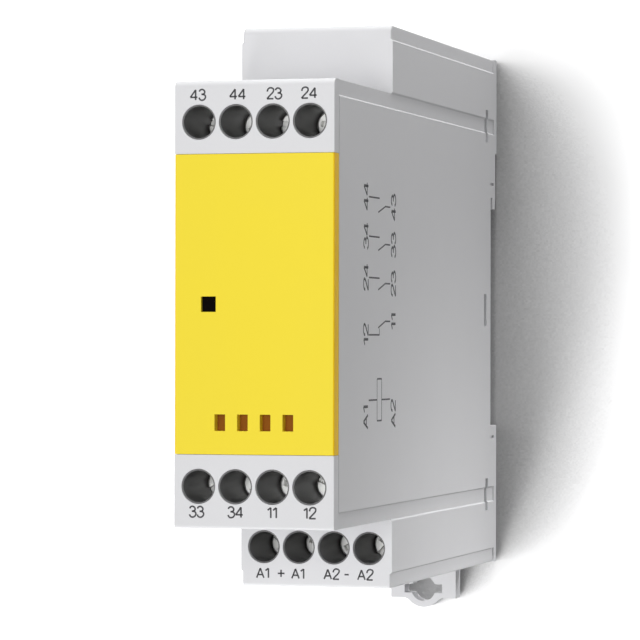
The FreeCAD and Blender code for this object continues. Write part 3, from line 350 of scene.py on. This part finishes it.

# ---- Contact springs -----------------------------------------------------------------------
# Four blades of contact alloy inside the relay, each with a pin and a riveted contact button.
# The card carries their ends, and their roots stay in the relay's base.

BLADES, BLADE_STEPS = 4, 10
BLADE_WIDE, BLADE_THICK = 6.0 * MM, 0.25 * MM
PIN_RADIUS, PIN_INSET, PIN_SUNK = 0.4 * MM, 1.0 * MM, 0.5 * MM
BUTTON_RADIUS, BUTTON_THICK, BUTTON_SUNK = 1.2 * MM, 0.5 * MM, 0.05 * MM
BUTTON_TO_CARD = 2.6 * MM
ROUND_SIDES = 24
springs_low, springs_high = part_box("moving_contacts")
blade_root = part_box("relay_base")[1].x
card_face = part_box("actuating_card")[0].x
blade_middle = springs_low.y + BLADE_WIDE / 2
first_low = springs_low.z + BUTTON_THICK
last_low = springs_high.z - BUTTON_THICK - BLADE_THICK
for number in range(1, BLADES + 1):
    low = first_low + (last_low - first_low) * (number - 1) / (BLADES - 1)
    half_high = low + BLADE_THICK / 2
    bpy.ops.mesh.primitive_grid_add(x_subdivisions=BLADE_STEPS, y_subdivisions=1, size=1)
    blade = bpy.context.active_object
    blade.data.transform(
        Matrix.Translation(((blade_root + springs_high.x) / 2, blade_middle, low))
        @ Matrix.Diagonal((springs_high.x - blade_root, BLADE_WIDE, 1, 1)))
    bpy.ops.object.mode_set(mode="EDIT")
    bpy.ops.mesh.select_all(action="SELECT")
    bpy.ops.mesh.extrude_region_move(TRANSFORM_OT_translate={"value": (0, 0, BLADE_THICK)})
    bpy.ops.mesh.select_all(action="SELECT")
    bpy.ops.mesh.normals_make_consistent(inside=False)
    bpy.ops.object.mode_set(mode="OBJECT")

    # The lowest pair opens as the card rises, so its button looks down.
    bpy.ops.mesh.primitive_cylinder_add(vertices=ROUND_SIDES, radius=BUTTON_RADIUS,
                                        depth=BUTTON_THICK + BUTTON_SUNK)
    button = bpy.context.active_object
    reach = (BLADE_THICK + BUTTON_THICK - BUTTON_SUNK) / 2
    button_high = half_high + (-reach if number == 1 else reach)
    button.data.transform(
        Matrix.Translation((card_face - BUTTON_TO_CARD, blade_middle, button_high)))

    pin_top = blade_root + PIN_SUNK
    bpy.ops.mesh.primitive_cylinder_add(vertices=ROUND_SIDES, radius=PIN_RADIUS,
                                        depth=pin_top - springs_low.x)
    pin = bpy.context.active_object
    pin.data.transform(
        Matrix.Translation(((pin_top + springs_low.x) / 2, springs_low.y + PIN_INSET, half_high))
        @ Matrix.Rotation(math.pi / 2, 4, "Y"))

    deselect()
    for part in (pin, button, blade):
        part.select_set(True)
    bpy.context.view_layer.objects.active = blade
    bpy.ops.object.join()
    blade.name = f"contact_spring_{number}"
    blade.data.materials.append(contact_metal.material)
    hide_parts("moving_contacts")
    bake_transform(blade)

# ---- Terminals -----------------------------------------------------------------------------
# Twelve rising-cage terminals: a tinned contact bar from the board, a zinc-plated steel cage that
# lifts the wire against it, and a zinc-plated slotted screw that drives the cage.

finished(tinned, "bars_top", "bars_bottom", "bars_coil")
block_plastic = moulded("block_plastic", (0.12, 0.12, 0.122), gloss=0.4, sheen=0.5)
finished(block_plastic, "terminal_block_top", "terminal_block_bottom", "terminal_block_coil")
zinc_steel = metal("zinc_steel", (0.66, 0.66, 0.65), 0.34)
screw_zinc = metal("screw_zinc", (0.93, 0.93, 0.91), 0.46, 0.22 * MM)
for row in ("top", "bottom", "coil"):
    for number in (1, 2, 3, 4):
        finished(zinc_steel, f"cage_{row}_{number}")
        finished(screw_zinc, f"screw_{row}_{number}")

# ---- Hood ----------------------------------------------------------------------------------
# Stepped light grey moulding over everything, with raised fields on both sides. The terminal
# numbers are pad-printed above and below the holes, the contact scheme on the right side.

hood_plastic = moulded("hood_plastic", GREY)
finished(hood_plastic, "housing_hood")

ink = moulded("grey_ink", (0.10, 0.10, 0.105), gloss=0.6, sheen=0.1)
STEP_DEPTH = 31.2 * MM
PRINT_THICK, PRINT_LINE = 0.012 * MM, 0.23 * MM
hood_low, hood_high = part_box("housing_hood")
FRONT, SIDE = hood_low.y, hood_high.x
STEP = FRONT + STEP_DEPTH

# Pens for each sign on a cap height of 1: straight lines, and bows drawn through control points.
GLYPHS = {
    "1": (0.40, [("line", (0.02, 0.76), (0.34, 1.0), (0.34, 0.0))]),
    "2": (0.66, [("bow", (0.04, 0.70), (0.05, 1.10), (0.72, 1.12), (0.70, 0.62), (0.28, 0.34),
                  (0.01, 0.0)),
                 ("line", (0.01, 0.0), (0.66, 0.0))]),
    "3": (0.64, [("bow", (0.05, 0.82), (0.10, 1.07), (0.64, 1.09), (0.66, 0.55), (0.26, 0.55)),
                 ("bow", (0.26, 0.55), (0.74, 0.57), (0.74, -0.09), (0.08, -0.09), (0.02, 0.24))]),
    "4": (0.72, [("line", (0.54, 0.0), (0.54, 1.0), (0.0, 0.27), (0.72, 0.27))]),
    "A": (0.78, [("line", (0.0, 0.0), (0.39, 1.0), (0.78, 0.0)),
                 ("line", (0.14, 0.33), (0.64, 0.33))]),
    "+": (0.74, [("line", (0.0, 0.5), (0.74, 0.5)), ("line", (0.37, 0.13), (0.37, 0.87))]),
    "-": (0.46, [("line", (0.0, 0.5), (0.46, 0.5))]),
}
GLYPH_GAP = 0.16
FRONT_TURN = Matrix(((1, 0, 0), (0, 0, -1), (0, 1, 0))).to_4x4()
SIDE_TURN = Matrix(((0, 0, 1), (0, -1, 0), (1, 0, 0))).to_4x4()


def wire_curve(name, thick, roundness):
    """An empty curve whose lines are round and this thick."""
    curve = bpy.data.curves.new(name, "CURVE")
    curve.dimensions = "3D"
    curve.bevel_depth = thick / 2
    curve.bevel_resolution = roundness
    curve.use_fill_caps = True
    return curve


def meshed(name, curve, finish):
    """The curve as a mesh object with this finish."""
    deselect()
    shape = bpy.data.objects.new(name, curve)
    bpy.context.scene.collection.objects.link(shape)
    shape.select_set(True)
    bpy.context.view_layer.objects.active = shape
    bpy.ops.object.convert(target="MESH")
    shape = bpy.context.active_object
    shape.data.materials.clear()
    shape.data.materials.append(finish.material)
    return shape


def printed(name, strokes, turn, middle, line=PRINT_LINE):
    """Pad-printed strokes in the plane of a face: round pen lines pressed flat."""
    drawing = wire_curve(name, line, 1)
    pens = [(kind, points) for kind, *points in strokes if kind == "bow"]
    for kind, *points in strokes:
        if kind == "line":
            pens += [(kind, pair) for pair in zip(points, points[1:])]
    for kind, points in pens:
        pen = drawing.splines.new("NURBS" if kind == "bow" else "POLY")
        pen.points.add(len(points) - 1)
        for point, (across, up) in zip(pen.points, points):
            point.co = (across, up, 0, 1)
        if kind == "bow":
            pen.order_u = 4
            pen.use_endpoint_u = True
            pen.resolution_u = 5
    words = meshed(name, drawing, ink)
    flat = Matrix.Diagonal((1, 1, PRINT_THICK / line, 1))
    words.data.transform(Matrix.Translation(middle) @ turn @ flat)
    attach(words, "module")


def lettering(name, text, height, turn, middle, line=PRINT_LINE):
    """Terminal marking of this cap height, centred on a point."""
    wide = sum(GLYPHS[sign][0] for sign in text) + GLYPH_GAP * (len(text) - 1)
    strokes = []
    start = -wide / 2
    for sign in text:
        width, pens = GLYPHS[sign]
        for kind, *points in pens:
            placed = (((start + x) * height, (y - 0.5) * height) for x, y in points)
            strokes.append((kind, *placed))
        start += width + GLYPH_GAP
    printed(name, strokes, turn, middle, line)


# Each row of markings: its face, its height, and each text with its place across in mm.
NUMBER_HIGH = 1.38 * MM
NUMBERS = (
    ("top", FRONT, 28.4 * MM, (("43", -8.0), ("44", -2.35), ("23", 2.8), ("24", 7.7))),
    ("bottom", FRONT, -28.15 * MM, (("33", -8.1), ("34", -2.57), ("11", 2.62), ("12", 7.87))),
    ("coil", STEP, -38.4 * MM, (("A1", -7.98), ("+", -5.24), ("A1", -2.7),
                                ("A2", 2.3), ("-", 4.54), ("A2", 7.3))),
)
for row, face, height, texts in NUMBERS:
    for number, (text, across) in enumerate(texts, 1):
        spot = (across * MM, face, height)
        lettering(f"number_{row}_{number}", text, NUMBER_HIGH, FRONT_TURN, spot)

# The contact scheme stands on the right side, read from below: three pairs that close, one pair
# that opens, and the coil. Leads come from the numbers near the front and from those behind them.
# Each pair has its near and far number and their heights in mm.
SCHEME_HIGH, SCHEME_LINE = 2.35 * MM, 0.38 * MM
NEAR_TEXT, NEAR_LEAD, NEAR_END = -77.2 * MM, -75.7 * MM, -69.85 * MM
FAR_TEXT, FAR_LEAD, FAR_END = -62.0 * MM, -63.9 * MM, -66.6 * MM
BLADE_TIP, BLADE_DROP, REST_RISE = -70.6 * MM, 0.95 * MM, 0.9 * MM
SCHEME = (("44", "43", 15.15, 14.10), ("34", "33", 9.65, 8.73), ("24", "23", 3.90, 3.20),
          ("12", "11", -4.08, -2.15))
OPENING_PAIR = "12"


def on_side(*points):
    """Points given by their place along the depth and their height, as lines on the side print."""
    return ("line", *((height, -depth) for depth, height in points))


for near, far, near_high, far_high in SCHEME:
    near_z, far_z = near_high * MM, far_high * MM
    lettering(f"scheme_{near}", near, SCHEME_HIGH, SIDE_TURN, (SIDE, NEAR_TEXT, near_z),
              SCHEME_LINE)
    lettering(f"scheme_{far}", far, SCHEME_HIGH, SIDE_TURN, (SIDE, FAR_TEXT, far_z), SCHEME_LINE)
    lead = [(NEAR_LEAD, near_z), (NEAR_END, near_z)]
    if near == OPENING_PAIR:
        lead.append((NEAR_END, near_z + REST_RISE))
    blade = [(FAR_LEAD, far_z), (FAR_END, far_z), (BLADE_TIP, far_z - BLADE_DROP)]
    printed(f"contact_{near}_{far}", [on_side(*lead), on_side(*blade)], SIDE_TURN, (SIDE, 0, 0))

COIL_NEAR, COIL_FAR = -71.1 * MM, -68.6 * MM
COIL_MIDDLE, COIL_HALF = -13.2 * MM, 2.94 * MM
A1_SPOT, A2_SPOT = (SIDE, -77.3 * MM, -15.5 * MM), (SIDE, -62.0 * MM, -15.3 * MM)
lettering("scheme_A1", "A1", SCHEME_HIGH, SIDE_TURN, A1_SPOT, SCHEME_LINE)
lettering("scheme_A2", "A2", SCHEME_HIGH, SIDE_TURN, A2_SPOT, SCHEME_LINE)
coil_low, coil_high = COIL_MIDDLE - COIL_HALF, COIL_MIDDLE + COIL_HALF
coil_box = [(COIL_NEAR, coil_low), (COIL_NEAR, coil_high), (COIL_FAR, coil_high),
            (COIL_FAR, coil_low), (COIL_NEAR, coil_low)]
coil_near_lead = on_side((NEAR_LEAD, COIL_MIDDLE), (COIL_NEAR, COIL_MIDDLE))
coil_far_lead = on_side((COIL_FAR, COIL_MIDDLE), (FAR_LEAD, COIL_MIDDLE))
printed("scheme_coil", [on_side(*coil_box), coil_near_lead, coil_far_lead], SIDE_TURN,
        (SIDE, 0, 0))

# ---- Lamp ----------------------------------------------------------------------------------
# Smoked moulded light pipe behind the lamp window, ending over a green lamp on the board.

HAZE_SIZE, HAZE_DEPTH, LENS_EDGE = 1.2 * MM, 0.002 * MM, 0.08 * MM
smoked = Finish("smoked_lens", (0.003, 0.002, 0.002), IOR=1.5, Specular_IOR_Level=0.01)
haze = smoked.noise(HAZE_SIZE, 2)
smoked.give("Roughness", 0.35 + haze * 0.2)
smoked.relief(haze, HAZE_DEPTH, LENS_EDGE)
finished(smoked, "light_pipe")
lamp_green = moulded("lamp_green", (0.05, 0.35, 0.09), gloss=0.2)
finished(lamp_green, "status_led")

# ---- Front cover ---------------------------------------------------------------------------
# Traffic-yellow snap-on cover with four slots over the marker places and a window for the lamp.

YELLOW, WALL_SHADE_YELLOW = (0.90, 0.72, 0.036), (0.98, 0.60, 0.002)
WALL_START, WALL_SOFT = 11.1 * MM, 0.1 * MM
cover_plastic = moulded("cover_plastic", YELLOW, darker=0.96, gloss=0.5)
# The side walls get a deeper, warmer yellow: painted shade for how the grazing light falls on
# them.
across = cover_plastic.node("ShaderNodeSeparateXYZ", {}, {"Vector": cover_plastic.place()})
painted_wall_shade = across.math("ABSOLUTE", across).above(WALL_START, WALL_SOFT)
cover_plastic.give("Base Color", cover_plastic.shade(painted_wall_shade, cover_plastic.skin, WALL_SHADE_YELLOW))
finished(cover_plastic, "front_cover")
strip_plastic = moulded("strip_plastic", (0.31, 0.105, 0.008), darker=0.7, gloss=0.6, sheen=0.1)
finished(strip_plastic, "marker_strip")

# ---- Rail foot -----------------------------------------------------------------------------
# Grey moulded foot that slides in the base's channel and grips the rail. It has a keyhole for a
# screwdriver at its lower end.

foot_plastic = moulded("foot_plastic", GREY)
finished(foot_plastic, "rail_foot")

# ---- Foot spring ---------------------------------------------------------------------------
# Seven turns of steel wire between the base's peg and the top of the foot's window.

SPRING_TURNS, TURN_STEPS, SPRING_WIRE, PULL = 7, 16, 0.4 * MM, 3.5 * MM
spring_steel = metal("spring_steel", (0.45, 0.45, 0.46), 0.3)
finished(spring_steel, "foot_spring")
spring_low, spring_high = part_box("foot_spring")
spring_tall = spring_high.z - spring_low.z
rise = spring_tall - SPRING_WIRE
spring_radius = (spring_high.x - spring_low.x - SPRING_WIRE) / 2
spring_middle = (spring_low.y + spring_high.y) / 2
wire = wire_curve("foot_spring_wire", SPRING_WIRE, 2)
coil = wire.splines.new("POLY")
coil.points.add(SPRING_TURNS * TURN_STEPS)
for step, point in enumerate(coil.points):
    angle = math.tau * step / TURN_STEPS
    point.co = (spring_radius * math.cos(angle), spring_middle + spring_radius * math.sin(angle),
                spring_low.z + SPRING_WIRE / 2 + rise * step / (SPRING_TURNS * TURN_STEPS), 1)
spring = meshed("foot_spring_coil", wire, spring_steel)
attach(spring, "module")
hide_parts("foot_spring")
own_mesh(spring)
